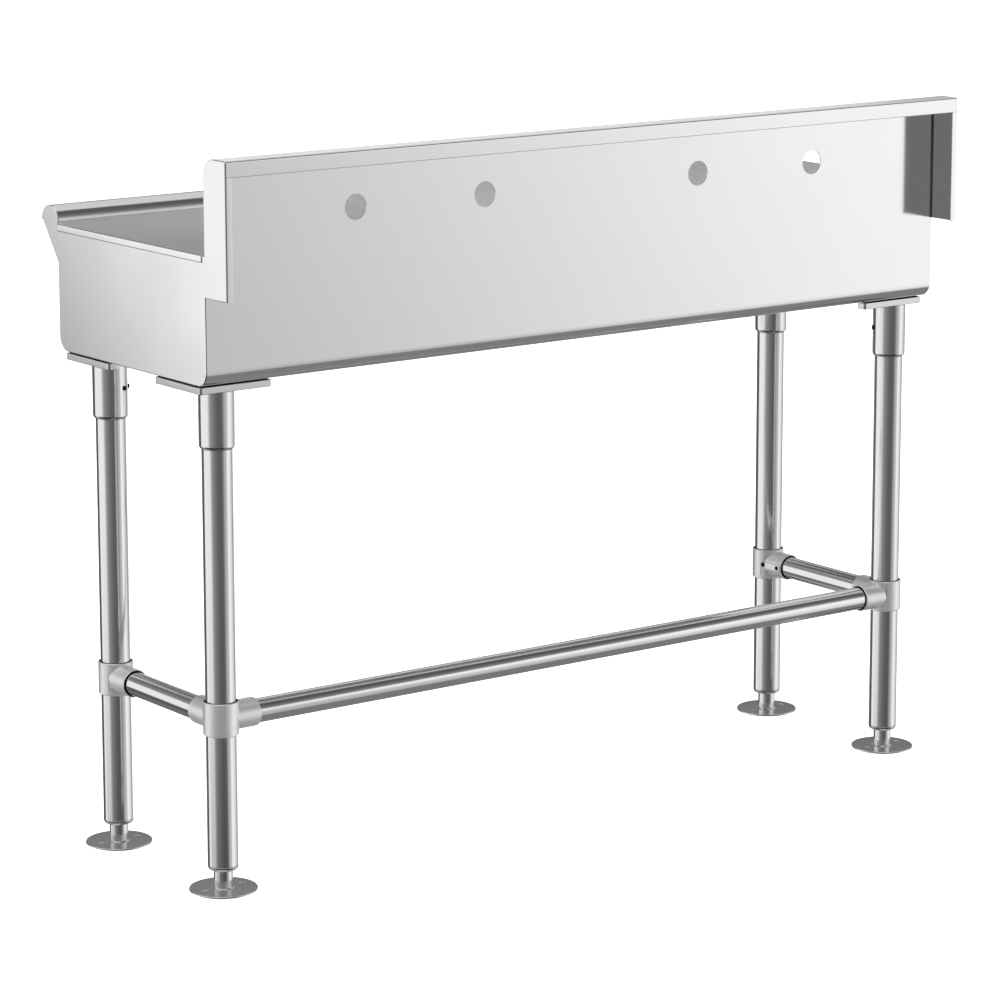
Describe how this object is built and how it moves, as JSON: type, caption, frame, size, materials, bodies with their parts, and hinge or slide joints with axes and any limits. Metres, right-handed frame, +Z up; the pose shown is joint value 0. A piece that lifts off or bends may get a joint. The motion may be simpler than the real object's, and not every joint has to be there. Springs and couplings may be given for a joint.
{
  "type": "trough sink",
  "caption": "Floor-standing stainless trough sink with rolled front rim, back splash with faucet holes, tube legs, cast brace fittings and adjustable anchored feet.",
  "frame": {"origin": "middle of the overall box, on the floor under the feet", "axes": "+X along the trough towards the right-hand end as a user at the rolled rim sees it, +Y from the rolled front rim to the splash, +Z up"},
  "size_m": [1.2246, 0.449, 0.9525],
  "materials": {
    "satin_sheet": "satin stainless sheet, brushed across its length",
    "polished_tube": "polished stainless tube",
    "turned_flange": "turned and polished stainless disc",
    "turned_drain": "turned stainless steel",
    "cast_fitting": "cast aluminium, fine blasted grain",
    "black_screw": "black oxide",
    "rubber_gasket": "matte black rubber"
  },
  "bodies": {
    "sink": {"basin_shell": "satin_sheet", "end_panel_left": "satin_sheet", "end_panel_right": "satin_sheet", "drain_body": "turned_drain", "drain_gasket": "rubber_gasket", "drain_locknut": "turned_drain", "mounting_pad_front_left": "satin_sheet", "mounting_pad_front_right": "satin_sheet", "mounting_pad_rear_left": "satin_sheet", "mounting_pad_rear_right": "satin_sheet", "gusset_front_left": "satin_sheet", "gusset_front_right": "satin_sheet", "gusset_rear_left": "satin_sheet", "gusset_rear_right": "satin_sheet", "leg_socket_front_left": "polished_tube", "leg_socket_front_right": "polished_tube", "leg_socket_rear_left": "polished_tube", "leg_socket_rear_right": "polished_tube", "leg_tube_front_left": "polished_tube", "leg_tube_front_right": "polished_tube", "leg_tube_rear_left": "polished_tube", "leg_tube_rear_right": "polished_tube", "leg_insert_front_left": "polished_tube", "leg_insert_front_right": "polished_tube", "leg_insert_rear_left": "polished_tube", "leg_insert_rear_right": "polished_tube", "tee_fitting_left": "cast_fitting", "tee_fitting_right": "cast_fitting", "corner_fitting_left": "cast_fitting", "corner_fitting_right": "cast_fitting", "side_brace_left": "polished_tube", "side_brace_right": "polished_tube", "rear_brace": "polished_tube", "socket_set_screws": "black_screw", "fitting_set_screws": "black_screw"},
    "foot_front_left": {"foot_stem_front_left": "polished_tube", "foot_flange_front_left": "turned_flange"},
    "foot_front_right": {"foot_stem_front_right": "polished_tube", "foot_flange_front_right": "turned_flange"},
    "foot_rear_left": {"foot_stem_rear_left": "polished_tube", "foot_flange_rear_left": "turned_flange"},
    "foot_rear_right": {"foot_stem_rear_right": "polished_tube", "foot_flange_rear_right": "turned_flange"},
    "strainer": {"strainer": "turned_drain"}
  },
  "joints": [
    {"name": "foot_front_left_height", "type": "slide", "parent": "sink", "child": "foot_front_left", "axis": [0, 0, 1], "range_m": [-0.025, 0.02]},
    {"name": "foot_front_right_height", "type": "slide", "parent": "sink", "child": "foot_front_right", "axis": [0, 0, 1], "range_m": [-0.025, 0.02]},
    {"name": "foot_rear_left_height", "type": "slide", "parent": "sink", "child": "foot_rear_left", "axis": [0, 0, 1], "range_m": [-0.025, 0.02]},
    {"name": "foot_rear_right_height", "type": "slide", "parent": "sink", "child": "foot_rear_right", "axis": [0, 0, 1], "range_m": [-0.025, 0.02]},
    {"name": "strainer_lift", "type": "slide", "parent": "sink", "child": "strainer", "axis": [0, 0, 1], "range_m": [0, 0.06]}
  ]
}
